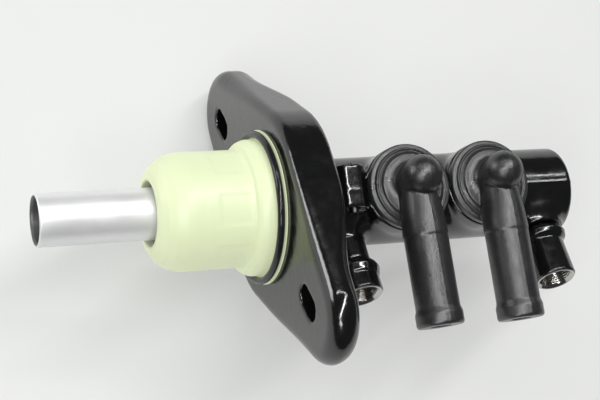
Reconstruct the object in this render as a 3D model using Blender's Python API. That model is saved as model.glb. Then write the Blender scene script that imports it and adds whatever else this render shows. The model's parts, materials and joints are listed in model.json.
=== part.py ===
"""Tandem brake master cylinder with a nylon piston guide, two elbow inlets and two pipe outlets.

Frame: origin on the cylinder axis at the flange's booster face, +X along the
cylinder towards its closed end, +Z up along the inlet ports. Lengths in metres.
"""

import math

import bmesh
import bpy
import numpy as np
from mathutils import Matrix, Vector

MM = 0.001

# casting
FLANGE_MID_R = 37.0 * MM
FLANGE_END_R = 17.8 * MM
FLANGE_MID_T = 17.0 * MM
FLANGE_HIGH_T = 12.0 * MM
FLANGE_LOW_T = 15.5 * MM
FLANGE_END_AT = 59.0 * MM
BOLT_AT = 53.0 * MM
BOLT_LINE = math.radians(50.4)
SLOT_W = 8.5 * MM
SLOT_L = 15.0 * MM
RIM_POINTS = 48
LUG_X = 28.6 * MM
PIN_Z = 19.3 * MM
PIN_HOLE_R = 2.15 * MM

# inlet ports and their rubber elbows: rear, front
PORT_X = (50.3 * MM, 83.7 * MM)
WELL_R = 9.0 * MM
WELL_BOTTOM = 13.2 * MM
ELBOW_AXIS_Z = 29.4 * MM
ELBOW_TURN = (math.radians(1.5), math.radians(1.0))

# pipe outlets: rear, front
OUTLET_X = (29.4 * MM, 110.8 * MM)
OUTLET_TILT = math.radians(69.0)
OUTLET_SEAT = (28.0 * MM, 19.2 * MM)
OUTLET_NECK_R = (6.7 * MM, 10.1 * MM)
OUTLET_COLLAR_R = (9.2 * MM, 10.1 * MM)
OUTLET_FLOOR = (30.3 * MM, 26.0 * MM)
OUTLET_END = 40.7 * MM

SEG = 32
SMOOTH_ANGLE = math.radians(35.0)


def clear_scene():
    for obj in list(bpy.data.objects):
        bpy.data.objects.remove(obj, do_unlink=True)


def material(name, color, metallic, roughness):
    mat = bpy.data.materials.get(name)
    if mat is None:
        mat = bpy.data.materials.new(name)
        mat.use_nodes = True
        shader = mat.node_tree.nodes["Principled BSDF"]
        shader.inputs["Base Color"].default_value = (*color, 1.0)
        shader.inputs["Metallic"].default_value = metallic
        shader.inputs["Roughness"].default_value = roughness
    return mat


def add_mesh(name, verts, faces, mat=None):
    mesh = bpy.data.meshes.new(name)
    mesh.from_pydata([tuple(v) for v in verts], [], [tuple(f) for f in faces])
    bm = bmesh.new()
    bm.from_mesh(mesh)
    bmesh.ops.recalc_face_normals(bm, faces=bm.faces)
    if bm.calc_volume(signed=True) < 0:
        bmesh.ops.reverse_faces(bm, faces=bm.faces)
    bm.to_mesh(mesh)
    bm.free()
    obj = bpy.data.objects.new(name, mesh)
    bpy.context.scene.collection.objects.link(obj)
    if mat is not None:
        mesh.materials.append(mat)
    mesh.shade_smooth()
    mesh.set_sharp_from_angle(angle=SMOOTH_ANGLE)
    return obj


def lathe_data(profile, seg, turn=0.0):
    """Closed outline of (along, radius) turned about local +X: rings, or one point on the axis."""
    verts = []
    rings = []
    for along, radius in profile:
        if radius < 1e-7:
            rings.append([len(verts)] * seg)
            verts.append((along, 0.0, 0.0))
            continue
        rings.append(list(range(len(verts), len(verts) + seg)))
        for k in range(seg):
            angle = turn + 2.0 * math.pi * k / seg
            verts.append((along, radius * math.cos(angle), radius * math.sin(angle)))
    faces = []
    for i, ring in enumerate(rings):
        after = rings[(i + 1) % len(rings)]
        for k in range(seg):
            n = (k + 1) % seg
            corners = [ring[k], ring[n], after[n], after[k]]
            face = [c for j, c in enumerate(corners) if c not in corners[:j]]
            if len(face) >= 3:
                faces.append(face)
    return verts, faces


def lathe(name, profile, mat=None, seg=SEG, frame=None, turn=0.0):
    verts, faces = lathe_data(profile, seg, turn)
    if frame is not None:
        verts = [tuple(frame @ Vector(v)) for v in verts]
    return add_mesh(name, verts, faces, mat)


def rod(name, start, end, radius, mat=None, seg=24):
    """Plain cylinder between two points."""
    start = Vector(start)
    along = Vector(end) - start
    frame = Matrix.Translation(start) @ along.to_track_quat("X", "Z").to_matrix().to_4x4()
    outline = [(0.0, 0.0), (0.0, radius), (along.length, radius), (along.length, 0.0)]
    return lathe(name, outline, mat, seg, frame)


def cut(obj, cutter, operation="DIFFERENCE"):
    """Boolean kept as a modifier; the other mesh stays as a hidden helper."""
    cutter.hide_render = True
    cutter.display_type = "WIRE"
    mod = obj.modifiers.new(operation.lower() + "_" + cutter.name, "BOOLEAN")
    mod.operation = operation
    mod.solver = "EXACT"
    mod.object = cutter


def join(obj, other):
    cut(obj, other, "UNION")


def port_frame(x):
    """Local +X points up along an inlet port."""
    return Matrix.Translation((x, 0.0, 0.0)) @ Matrix.Rotation(-math.pi / 2, 4, "Y")


def outlet_axis():
    return Vector((0.0, -math.sin(OUTLET_TILT), math.cos(OUTLET_TILT)))


def outlet_frame(x):
    """Local +X points out along a pipe outlet."""
    turn = outlet_axis().to_track_quat("X", "Z").to_matrix().to_4x4()
    return Matrix.Translation((x, 0.0, 0.0)) @ turn


def bolt_dir():
    return np.array([-math.sin(BOLT_LINE), math.cos(BOLT_LINE)])


def flange_outline(offset):
    """Hull of one middle and two end circles: returns (y, z) points and their place on the bolt line."""
    along = bolt_dir()
    side = np.array([along[1], -along[0]])
    lean = math.asin((FLANGE_MID_R - FLANGE_END_R) / FLANGE_END_AT)
    points = []
    spans = (
        (0.0, FLANGE_MID_R, math.pi / 2 - lean, math.pi / 2 + lean, 7),
        (-FLANGE_END_AT, FLANGE_END_R, math.pi / 2 + lean, 1.5 * math.pi - lean, 17),
        (0.0, FLANGE_MID_R, 1.5 * math.pi - lean, 1.5 * math.pi + lean, 7),
        (FLANGE_END_AT, FLANGE_END_R, 1.5 * math.pi + lean, 2.5 * math.pi - lean, 17),
    )
    for centre, radius, first, last, count in spans:
        for angle in np.linspace(first, last, count):
            s = centre + (radius + offset) * math.cos(angle)
            w = (radius + offset) * math.sin(angle)
            points.append((s * along + w * side, s))
    return points


def end_share(s):
    """0 round the barrel, 1 at the flange's two ends, with an even S between."""
    share = min(max((abs(s) - 24 * MM) / (34 * MM), 0.0), 1.0)
    return share * share * (3 - 2 * share)


def flange_plate():
    """Plate with a rounded rim: thick round the barrel, thinner and more rounded at its ends."""
    quarter = ((0.0, -1.0), (0.134, -0.5), (0.5, -0.134), (1.0, 0.0))
    flat = flange_outline(0.0)
    verts = []
    for depth, inset in quarter:
        for i, (_, s) in enumerate(flat):
            round_r = (3.4 + 2.4 * end_share(s)) * MM
            point = flange_outline(inset * round_r)[i][0]
            verts.append((depth * round_r, point[0], point[1]))
    for depth, inset in reversed(quarter):
        for i, (_, s) in enumerate(flat):
            round_r = (2.6 + 4.4 * end_share(s)) * MM
            point = flange_outline(inset * round_r)[i][0]
            end_t = FLANGE_HIGH_T if s > 0 else FLANGE_LOW_T
            thick = FLANGE_MID_T + (end_t - FLANGE_MID_T) * end_share(s)
            verts.append((thick - depth * round_r, point[0], point[1]))
    faces = [tuple(range(RIM_POINTS))]
    for a in range(0, 7 * RIM_POINTS, RIM_POINTS):
        for i in range(RIM_POINTS):
            n = (i + 1) % RIM_POINTS
            faces.append((a + i, a + n, a + RIM_POINTS + n, a + RIM_POINTS + i))
    middle = len(verts)
    verts.append((FLANGE_MID_T, 0.0, 0.0))
    last = 7 * RIM_POINTS
    for i in range(RIM_POINTS):
        faces.append((last + i, last + (i + 1) % RIM_POINTS, middle))
    return add_mesh("help_flange", verts, faces)


def slot_cutter(name, sign):
    """Stadium prism right through the flange, long side on the bolt line."""
    along = bolt_dir()
    side = np.array([along[1], -along[0]])
    reach = (SLOT_L - SLOT_W) / 2
    ring = []
    for centre, first in ((reach, -math.pi / 2), (-reach, math.pi / 2)):
        for angle in np.linspace(first, first + math.pi, 8):
            s = centre + SLOT_W / 2 * math.cos(angle)
            w = SLOT_W / 2 * math.sin(angle)
            ring.append((sign * BOLT_AT + s) * along + w * side)
    count = len(ring)
    verts = [(-4 * MM, p[0], p[1]) for p in ring]
    verts += [(26 * MM, p[0], p[1]) for p in ring]
    faces = [tuple(range(count)), tuple(range(count, 2 * count))]
    faces += [(i, (i + 1) % count, count + (i + 1) % count, count + i) for i in range(count)]
    return add_mesh(name, verts, faces)


def barrel_blank():
    outline = (
        (9.0, 0.0), (9.0, 20.0), (17.2, 20.0), (19.0, 18.2), (21.5, 17.0), (24.0, 16.8),
        (122.2, 16.8), (123.4, 16.3), (124.0, 15.0), (124.0, 0.0),
    )
    return [(a * MM, r * MM) for a, r in outline]


def inlet_boss(name, x):
    outline = ((6.0, 0.0), (6.0, 15.6), (16.0, 16.2), (19.9, 16.2), (20.4, 15.7), (20.4, 0.0))
    return lathe(name, [(a * MM, r * MM) for a, r in outline], None, 32, port_frame(x), 0.031)


def outlet_boss(number):
    """Cast neck that carries a pipe outlet; its foot spreads into the barrel."""
    neck = OUTLET_NECK_R[number]
    seat = OUTLET_SEAT[number]
    foot = neck + 2.4 * MM
    outline = (
        (8.0 * MM, 0.0), (8.0 * MM, foot), (15.0 * MM, foot), (17.2 * MM, neck + 0.5 * MM),
        (19.0 * MM, neck), (seat, neck), (seat, 0.0),
    )
    name = "help_outlet_boss_%d" % number
    return lathe(name, outline, None, 28, outlet_frame(OUTLET_X[number]), 0.047)


def pin_lug():
    """Cast block across the barrel, bevelled on top, that carries the cross pin."""
    section = ((22.4, 9.0), (22.4, 17.6), (25.6, 22.3), (32.0, 22.3), (35.2, 18.6), (35.2, 9.0))
    verts = [(x * MM, -6.2 * MM, z * MM) for x, z in section]
    verts += [(x * MM, 10.0 * MM, z * MM) for x, z in section]
    faces = [(0, 1, 2, 3, 4, 5), (11, 10, 9, 8, 7, 6)]
    faces += [(i, (i + 1) % 6, 6 + (i + 1) % 6, 6 + i) for i in range(6)]
    return add_mesh("help_lug", verts, faces)


def cast_body():
    iron = material("cast_iron_black", (0.012, 0.012, 0.013), 0.0, 0.3)
    body = lathe("cylinder_body", barrel_blank(), iron)
    join(body, flange_plate())
    for number, x in enumerate(PORT_X):
        join(body, inlet_boss("help_boss_%d" % number, x))
    for number in (0, 1):
        join(body, outlet_boss(number))
    join(body, pin_lug())
    bore = (
        (-5.0, 0.0), (-5.0, 15.4), (4.6, 15.4), (4.6, 16.8), (6.2, 16.8), (6.2, 15.4),
        (13.5, 15.4), (13.5, 11.1), (118.0, 11.1), (118.0, 0.0),
    )
    cut(body, lathe("cut_bore", [(a * MM, r * MM) for a, r in bore], None, SEG, None, 0.011))
    cut(body, slot_cutter("cut_slot_low", 1.0))
    cut(body, slot_cutter("cut_slot_high", -1.0))
    for number, x in enumerate(PORT_X):
        well = [(WELL_BOTTOM, 0.0), (WELL_BOTTOM, WELL_R), (30 * MM, WELL_R), (30 * MM, 0.0)]
        cut(body, lathe("cut_well_%d" % number, well, None, 24, port_frame(x), 0.017))
    for number, x in enumerate(OUTLET_X):
        low = OUTLET_SEAT[number] - 4.8 * MM
        hole = [(low, 0.0), (low, 3.4 * MM), (low + 10 * MM, 3.4 * MM), (low + 10 * MM, 0.0)]
        cut(body, lathe("cut_outlet_%d" % number, hole, None, 14, outlet_frame(x), 0.023))
    drillings(body)
    ends = ((LUG_X, -20 * MM, PIN_Z), (LUG_X, 20 * MM, PIN_Z))
    cut(body, rod("cut_pin", ends[0], ends[1], PIN_HOLE_R, None, 14))
    return body


def drillings(body):
    """Feed and outlet passages through the wall, all open at both ends."""
    out = outlet_axis()
    rear = Vector((OUTLET_X[0], 0.0, 0.0))
    front = Vector((OUTLET_X[1], 0.0, 0.0))
    cut(body, rod("cut_rise_rear", rear + out * 14.6 * MM, rear + out * 24 * MM, 1.6 * MM, None, 8))
    landing = Vector((48.5 * MM, 0.0, 0.0)) + out * 9.6 * MM
    cut(body, rod("cut_passage_rear", rear + out * 15.9 * MM, landing, 1.1 * MM, None, 8))
    cut(body, rod("cut_passage_front", front + out * 8 * MM, front + out * 15.2 * MM, 1.6 * MM, None, 8))
    start = (PORT_X[0] - 7.0 * MM, 2.0 * MM, 14.2 * MM)
    cut(body, rod("cut_feed_rear", start, (23.4 * MM, 2.0 * MM, 9.2 * MM), 1.0 * MM, None, 8))
    for number, shift in enumerate((-4.5, 4.2)):
        x = PORT_X[1] + shift * MM
        cut(body, rod("cut_feed_front_%d" % number, (x, 0, 9 * MM), (x, 0, 15 * MM), 1.0 * MM, None, 8))


def guide_sleeve():
    nylon = material("nylon_natural", (0.80, 0.88, 0.62), 0.0, 0.4)
    outline = (
        (-43.2, 9.85), (-43.2, 12.6), (-42.4, 15.2), (-40.3, 18.0), (-37.2, 20.3), (-34.2, 21.4),
        (-31.5, 21.7), (-9.2, 21.7), (-9.0, 22.6), (-8.0, 24.1), (-6.6, 24.9), (-5.0, 25.2),
        (-0.65, 25.2), (-0.65, 29.0), (-0.25, 29.0), (-0.25, 15.0), (4.3, 15.0), (4.6, 13.9),
        (6.2, 13.9), (6.2, 9.85),
    )
    guide = lathe("guide_sleeve", [(a * MM, r * MM) for a, r in outline], nylon)
    cut(guide, pocket_cutter())
    return guide


def pocket_cutter():
    """Seven shallow windows round the sleeve just ahead of the shoulder."""
    verts = []
    faces = []
    for k in range(7):
        middle = math.radians(23.6) + 2 * math.pi * k / 7
        half = math.radians(15.0)
        first = len(verts)
        for x in (-22.6 * MM, -10.8 * MM):
            for r in (21.0 * MM, 24.0 * MM):
                for a in (middle - half, middle, middle + half):
                    verts.append((x, r * math.sin(a), r * math.cos(a)))
        i = first
        faces += [(i, i + 1, i + 4, i + 3), (i + 1, i + 2, i + 5, i + 4)]
        faces += [(i + 6, i + 9, i + 10, i + 7), (i + 7, i + 10, i + 11, i + 8)]
        faces += [(i, i + 6, i + 7, i + 1), (i + 1, i + 7, i + 8, i + 2)]
        faces += [(i + 3, i + 4, i + 10, i + 9), (i + 4, i + 5, i + 11, i + 10)]
        faces += [(i, i + 3, i + 9, i + 6), (i + 2, i + 8, i + 11, i + 5)]
    return add_mesh("cut_pockets", verts, faces)


def torus(name, x, ring_r, wire_r, mat, seg=SEG, sides=8):
    outline = []
    for k in range(sides):
        angle = 2 * math.pi * (k + 0.5) / sides
        outline.append((x + wire_r * math.cos(angle), ring_r + wire_r * math.sin(angle)))
    return lathe(name, outline, mat, seg)


def ring_part(name, outline, mat, seg=SEG):
    return lathe(name, [(a * MM, r * MM) for a, r in outline], mat, seg)


def snap_ring():
    """Open retaining ring in the groove between casting and sleeve."""
    steel = material("spring_steel", (0.35, 0.36, 0.38), 1.0, 0.35)
    verts = []
    faces = []
    count = 25
    for k in range(count):
        a = math.radians(14) + math.radians(332) * k / (count - 1)
        for x, r in ((4.85, 14.2), (4.85, 16.4), (5.85, 16.4), (5.85, 14.2)):
            verts.append((x * MM, r * MM * math.cos(a), r * MM * math.sin(a)))
    for k in range(count - 1):
        i = 4 * k
        for j in range(4):
            n = (j + 1) % 4
            faces.append((i + j, i + n, i + 4 + n, i + 4 + j))
    faces.append((0, 1, 2, 3))
    i = 4 * (count - 1)
    faces.append((i + 3, i + 2, i + 1, i))
    return add_mesh("snap_ring", verts, faces, steel)


def seal_parts():
    rubber = material("seal_rubber", (0.01, 0.01, 0.011), 0.0, 0.35)
    steel = material("zinc_steel", (0.55, 0.55, 0.52), 1.0, 0.35)
    torus("guide_o_ring", -2.25 * MM, 27.1 * MM, 1.35 * MM, rubber)
    snap_ring()
    lip = (
        (6.6, 9.85), (6.6, 15.0), (11.4, 15.0), (11.4, 14.0), (8.6, 13.4), (8.2, 11.6),
        (8.6, 10.9), (11.4, 10.5), (11.4, 9.85),
    )
    ring_part("stem_lip_seal", lip, rubber, 24)
    ring_part("stop_washer", ((11.8, 9.9), (11.8, 15.0), (13.2, 15.0), (13.2, 9.9)), steel)


def primary_piston():
    """Hollow stem with the booster rod's socket, and the sealing head in the bore."""
    bright = material("machined_alloy", (0.86, 0.86, 0.87), 1.0, 0.22)
    outline = (
        (-84.0, 8.9), (-84.0, 9.2), (-83.6, 9.525), (11.0, 9.525), (13.8, 9.525), (13.8, 10.6),
        (14.1, 10.85), (15.2, 10.85), (15.2, 8.9), (18.6, 8.9), (18.6, 10.85), (22.0, 10.85),
        (22.0, 6.0), (27.6, 6.0), (28.0, 5.6), (28.0, 0.0), (-22.0, 0.0), (-22.0, 2.6), (-25.4, 5.4),
        (-28.0, 8.3), (-83.1, 8.3),
    )
    return ring_part("primary_piston", outline, bright)


def secondary_piston():
    alloy = material("piston_alloy", (0.62, 0.63, 0.65), 1.0, 0.35)
    outline = (
        (46.0, 0.0), (46.0, 5.6), (46.4, 6.0), (50.0, 6.0), (50.0, 10.85), (52.0, 10.85),
        (52.0, 8.2), (56.6, 8.2), (56.6, 10.85), (58.8, 10.85), (58.8, 8.2), (63.4, 8.2),
        (63.4, 10.85), (65.8, 10.85), (65.8, 7.4), (77.6, 7.4), (77.6, 10.85), (80.6, 10.85),
        (80.6, 8.2), (85.2, 8.2), (85.2, 9.9), (86.0, 9.9), (86.0, 5.4), (91.6, 5.4),
        (92.0, 5.0), (92.0, 0.0),
    )
    return ring_part("secondary_piston", outline, alloy, 24)


def cup(name, start, length, inner, mat, forward=True):
    """U-section cup; the open side faces the pressure."""
    w = length
    outline = [
        (0.0, inner), (0.0, 10.75), (w, 10.95), (w, 10.1), (0.45 * w, 9.9),
        (0.38 * w, 9.5), (0.45 * w, inner + 0.6), (w, inner + 0.35), (w, inner),
    ]
    if not forward:
        outline = [(w - a, r) for a, r in outline]
    return ring_part(name, [(start + a, r) for a, r in outline], mat, 24)


def piston_cups():
    rubber = material("cup_rubber", (0.014, 0.014, 0.016), 0.0, 0.5)
    cup("primary_cup", 15.5, 2.8, 9.2, rubber)
    cup("secondary_rear_cup", 52.3, 4.0, 8.5, rubber, forward=False)
    cup("secondary_mid_cup", 59.1, 4.0, 8.5, rubber)
    cup("secondary_front_cup", 80.9, 4.0, 8.5, rubber)


def open_spring(name, start, end, mean_r, wire_r, coils):
    """Helix of round wire; its end coils are pitched so that the wire never meets itself."""
    steel = material("spring_wire", (0.45, 0.45, 0.47), 1.0, 0.3)
    per_turn = 12
    sides = 5
    steps = int(coils * per_turn)
    dead = 2.3 * wire_r
    low = start + wire_r
    high = end - wire_r
    active = (high - low) - 2 * dead
    verts = []
    faces = []
    for i in range(steps + 1):
        n = coils * i / steps
        if n < 1:
            x = low + dead * n
        elif n > coils - 1:
            x = high - dead * (coils - n)
        else:
            x = low + dead + active * (n - 1) / (coils - 2)
        turn = 2 * math.pi * n
        for k in range(sides):
            a = 2 * math.pi * k / sides
            r = mean_r + wire_r * math.cos(a)
            verts.append((x + wire_r * math.sin(a), r * math.cos(turn), r * math.sin(turn)))
    for i in range(steps):
        a = i * sides
        b = a + sides
        for k in range(sides):
            m = (k + 1) % sides
            faces.append((a + k, a + m, b + m, b + k))
    faces.append(tuple(range(sides)))
    faces.append(tuple(steps * sides + k for k in range(sides)))
    return add_mesh(name, verts, faces, steel)


def inner_springs():
    steel = material("zinc_steel", (0.55, 0.55, 0.52), 1.0, 0.35)
    ring_part("primary_spring_seat", ((22.3, 6.4), (22.3, 10.3), (23.3, 10.3), (23.3, 6.4)), steel, 32)
    open_spring("primary_spring", 23.6 * MM, 49.7 * MM, 8.3 * MM, 0.95 * MM, 5.5)
    ring_part("secondary_spring_seat", ((86.3, 5.8), (86.3, 10.3), (87.3, 10.3), (87.3, 5.8)), steel, 32)
    open_spring("secondary_spring", 87.6 * MM, 117.7 * MM, 7.6 * MM, 0.9 * MM, 6.5)


def outlet_parts():
    black = material("black_steel", (0.012, 0.012, 0.013), 0.0, 0.18)
    copper = material("copper", (0.72, 0.38, 0.24), 1.0, 0.35)
    brass = material("brass", (0.72, 0.55, 0.28), 1.0, 0.3)
    for number, tag in enumerate(("rear", "front")):
        frame = outlet_frame(OUTLET_X[number])
        seat = OUTLET_SEAT[number] / MM
        floor = OUTLET_FLOOR[number] / MM
        collar = OUTLET_COLLAR_R[number] / MM
        end = OUTLET_END / MM
        low = seat + 0.9
        fitting = (
            (seat - 4.3, 1.6), (seat - 4.3, 3.1), (low, 3.1), (low, 7.4), (low + 0.7, collar - 0.6),
            (low + 2.2, collar), (low + 3.9, collar - 0.5), (low + 4.8, 8.5), (low + 5.4, 8.05),
            (end - 0.6, 8.05), (end, 7.5), (end, 6.7), (end - 1.0, 5.6), (floor, 5.6), (floor, 1.6),
        )
        washer = ((seat + 0.2, 3.5), (seat + 0.2, 6.4), (seat + 0.65, 6.4), (seat + 0.65, 3.5))
        cone = ((0.3, 1.2), (0.3, 5.2), (1.2, 5.2), (3.3, 2.6), (3.3, 1.2))
        cone = [(floor + a, r) for a, r in cone]
        for name, outline, mat, seg in (
            ("outlet_fitting_", fitting, black, 24),
            ("outlet_washer_", washer, copper, 20),
            ("pipe_seat_", cone, brass, 16),
        ):
            lathe(name + tag, [(a * MM, r * MM) for a, r in outline], mat, seg, frame)


def cross_pin():
    """Slotted spring pin through the lug, standing proud at both ends."""
    steel = material("spring_steel", (0.35, 0.36, 0.38), 1.0, 0.35)
    angles = [math.radians(20) + math.radians(320) * k / 12 for k in range(13)]
    loop = [(1.85 * math.cos(a), 1.85 * math.sin(a)) for a in angles]
    loop += [(1.15 * math.cos(a), 1.15 * math.sin(a)) for a in reversed(angles)]
    count = len(loop)
    verts = [(LUG_X + u * MM, -8.2 * MM, PIN_Z + v * MM) for u, v in loop]
    verts += [(LUG_X + u * MM, 10.4 * MM, PIN_Z + v * MM) for u, v in loop]
    faces = [(i, (i + 1) % count, count + (i + 1) % count, count + i) for i in range(count)]
    for i in range(12):
        j = count - 1 - i
        faces.append((i, i + 1, j - 1, j))
        faces.append((count + i, count + j, count + j - 1, count + i + 1))
    return add_mesh("cross_pin", verts, faces, steel)


def elbow(tag, x, turn):
    """Rubber elbow: stepped base, round stem with a domed top, and the hose tube towards -Y."""
    rubber = material("elbow_rubber", (0.022, 0.022, 0.024), 0.0, 0.45)
    stem = (
        (14.6, 3.8), (14.6, 5.4), (16.4, 6.3), (20.9, 6.3), (20.9, 16.1), (23.7, 16.1), (24.2, 15.6),
        (24.2, 14.1), (25.6, 13.4), (26.2, 12.2), (27.0, 9.6), (28.6, 8.2), (30.6, 7.4), (35.2, 7.4),
        (38.2, 6.6), (40.3, 5.0), (41.8, 2.6), (42.2, 0.0), (29.4, 0.0), (29.4, 3.8),
    )
    stem = [(a * MM, r * MM) for a, r in stem]
    body = lathe("elbow_" + tag, stem, rubber, 28, port_frame(x))
    middle = Matrix.Translation((x, 0.0, ELBOW_AXIS_Z)) @ Matrix.Rotation(turn, 4, "Z")
    outward = middle @ Matrix.Rotation(-math.pi / 2, 4, "Z")
    tube = (
        (-1.0, 0.0), (-1.0, 6.6), (4.0, 7.0), (9.0, 7.6), (14.0, 8.05), (19.8, 8.25), (20.1, 8.0),
        (46.5, 8.05), (48.5, 8.6), (52.3, 8.7), (52.9, 8.2), (52.9, 0.0),
    )
    join(body, lathe("help_tube_" + tag, [(a * MM, r * MM) for a, r in tube], None, 24, outward, 0.041))
    hollow = ((-2.6, 0.0), (-2.6, 3.8), (60.0, 3.8), (60.0, 0.0))
    cut(body, lathe("cut_tube_" + tag, [(a * MM, r * MM) for a, r in hollow], None, 14, outward, 0.029))
    centre = Vector((x, 0.0, ELBOW_AXIS_Z))
    body.data.transform(Matrix.Translation(-centre))
    body.location = centre


def inlet_parts():
    rubber = material("grommet_rubber", (0.012, 0.012, 0.013), 0.0, 0.55)
    grommet = (
        (13.6, 6.9), (13.6, 8.7), (20.4, 8.7), (20.4, 6.7), (19.6, 6.7), (18.9, 7.3),
        (18.2, 6.7), (16.0, 6.7),
    )
    for tag, x, turn in zip(("rear", "front"), PORT_X, ELBOW_TURN):
        outline = [(a * MM, r * MM) for a, r in grommet]
        lathe("port_grommet_" + tag, outline, rubber, 24, port_frame(x))
        elbow(tag, x, turn)


def main():
    clear_scene()
    cast_body()
    guide_sleeve()
    seal_parts()
    primary_piston()
    secondary_piston()
    piston_cups()
    inner_springs()
    outlet_parts()
    cross_pin()
    inlet_parts()


main()
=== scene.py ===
import json

import bmesh
import bpy
import numpy as np
from mathutils import Matrix, Vector


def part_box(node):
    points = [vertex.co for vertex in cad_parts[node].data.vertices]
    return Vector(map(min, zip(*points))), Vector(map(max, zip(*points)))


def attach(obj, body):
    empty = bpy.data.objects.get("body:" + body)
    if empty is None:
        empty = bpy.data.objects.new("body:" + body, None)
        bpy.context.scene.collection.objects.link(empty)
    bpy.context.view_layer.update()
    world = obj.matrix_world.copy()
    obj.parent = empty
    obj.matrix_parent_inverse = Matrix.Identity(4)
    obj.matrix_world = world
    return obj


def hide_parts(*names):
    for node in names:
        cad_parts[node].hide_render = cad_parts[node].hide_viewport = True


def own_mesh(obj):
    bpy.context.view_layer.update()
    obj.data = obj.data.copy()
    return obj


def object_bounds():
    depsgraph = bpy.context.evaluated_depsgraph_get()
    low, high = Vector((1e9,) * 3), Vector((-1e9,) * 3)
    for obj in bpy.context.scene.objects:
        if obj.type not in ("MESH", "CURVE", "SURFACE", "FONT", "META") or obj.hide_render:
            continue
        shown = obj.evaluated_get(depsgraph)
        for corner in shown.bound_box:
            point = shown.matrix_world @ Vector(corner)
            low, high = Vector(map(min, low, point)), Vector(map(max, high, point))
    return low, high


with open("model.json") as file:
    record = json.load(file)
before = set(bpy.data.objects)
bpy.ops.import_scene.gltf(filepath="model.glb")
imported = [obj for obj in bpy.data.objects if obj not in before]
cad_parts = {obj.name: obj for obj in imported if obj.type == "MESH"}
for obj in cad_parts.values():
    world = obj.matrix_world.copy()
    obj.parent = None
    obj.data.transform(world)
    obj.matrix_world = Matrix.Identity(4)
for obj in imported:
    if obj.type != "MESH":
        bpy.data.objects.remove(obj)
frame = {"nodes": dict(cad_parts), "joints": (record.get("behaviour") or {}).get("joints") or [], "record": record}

cad_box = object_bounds()
MM = 0.001


# ---------------------------------------------------------------------------
# Bench and light
# A pale bench top with the cylinder lying on its lowest flange lug, two long
# strip lamps that draw lines along the castings, and small soft panels.
# ---------------------------------------------------------------------------

def shader_of(name, color, roughness, metallic=0.0, **sockets):
    """A material with one Principled shader; the extra words are its other sockets."""
    made = bpy.data.materials.new(name)
    made.use_nodes = True
    shader = made.node_tree.nodes["Principled BSDF"]
    shader.inputs["Base Color"].default_value = (*color, 1.0)
    shader.inputs["Roughness"].default_value = roughness
    shader.inputs["Metallic"].default_value = metallic
    for socket, value in sockets.items():
        shader.inputs[socket.replace("_", " ")].default_value = value
    return made


def node_in(made, kind, **settings):
    """A new node of a material; each extra word sets the input of that name, or else the property."""
    node = made.node_tree.nodes.new(kind)
    for key, value in settings.items():
        if key in node.inputs:
            node.inputs[key].default_value = value
        else:
            setattr(node, key, value)
    return node


def group_of(name, wanted, given):
    """An empty shader group with float inputs {name: default} and outputs {name: socket type}."""
    group = bpy.data.node_groups.new(name, "ShaderNodeTree")
    for label, value in wanted.items():
        socket = group.interface.new_socket(label, in_out="INPUT", socket_type="NodeSocketFloat")
        socket.default_value = value
    for label, kind in given.items():
        group.interface.new_socket(label, in_out="OUTPUT", socket_type=kind)
    return group, group.nodes.new("NodeGroupInput"), group.nodes.new("NodeGroupOutput")


def unevenness_group():
    """Slow blotches between two levels: how polish varies over a surface."""
    group, asked, out = group_of(
        "uneven_polish", {"Scale": 120.0, "Low": 0.2, "High": 0.4}, {"Value": "NodeSocketFloat"}
    )
    place = group.nodes.new("ShaderNodeTexCoord")
    wide = group.nodes.new("ShaderNodeTexNoise")
    wide.inputs["Detail"].default_value = 5.0
    wide.inputs["Roughness"].default_value = 0.62
    spread = group.nodes.new("ShaderNodeMapRange")
    spread.inputs["From Min"].default_value = 0.32
    spread.inputs["From Max"].default_value = 0.68
    group.links.new(place.outputs["Object"], wide.inputs["Vector"])
    group.links.new(asked.outputs["Scale"], wide.inputs["Scale"])
    group.links.new(wide.outputs["Fac"], spread.inputs["Value"])
    group.links.new(asked.outputs["Low"], spread.inputs["To Min"])
    group.links.new(asked.outputs["High"], spread.inputs["To Max"])
    group.links.new(spread.outputs["Result"], out.inputs["Value"])
    return group


def grain_group():
    """Height of a fine pebbled skin: coarse undulation plus a finer grit."""
    group, asked, out = group_of(
        "fine_grain", {"Coarse": 350.0, "Fine": 1900.0, "Grit": 0.4}, {"Height": "NodeSocketFloat"}
    )
    place = group.nodes.new("ShaderNodeTexCoord")
    heights = []
    for label, detail in (("Coarse", 2.0), ("Fine", 3.0)):
        noise = group.nodes.new("ShaderNodeTexNoise")
        noise.inputs["Detail"].default_value = detail
        group.links.new(place.outputs["Object"], noise.inputs["Vector"])
        group.links.new(asked.outputs[label], noise.inputs["Scale"])
        heights.append(noise.outputs["Fac"])
    add = group.nodes.new("ShaderNodeMath")
    add.operation = "MULTIPLY_ADD"
    group.links.new(heights[1], add.inputs[0])
    group.links.new(asked.outputs["Grit"], add.inputs[1])
    group.links.new(heights[0], add.inputs[2])
    group.links.new(add.outputs[0], out.inputs["Height"])
    return group


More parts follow.
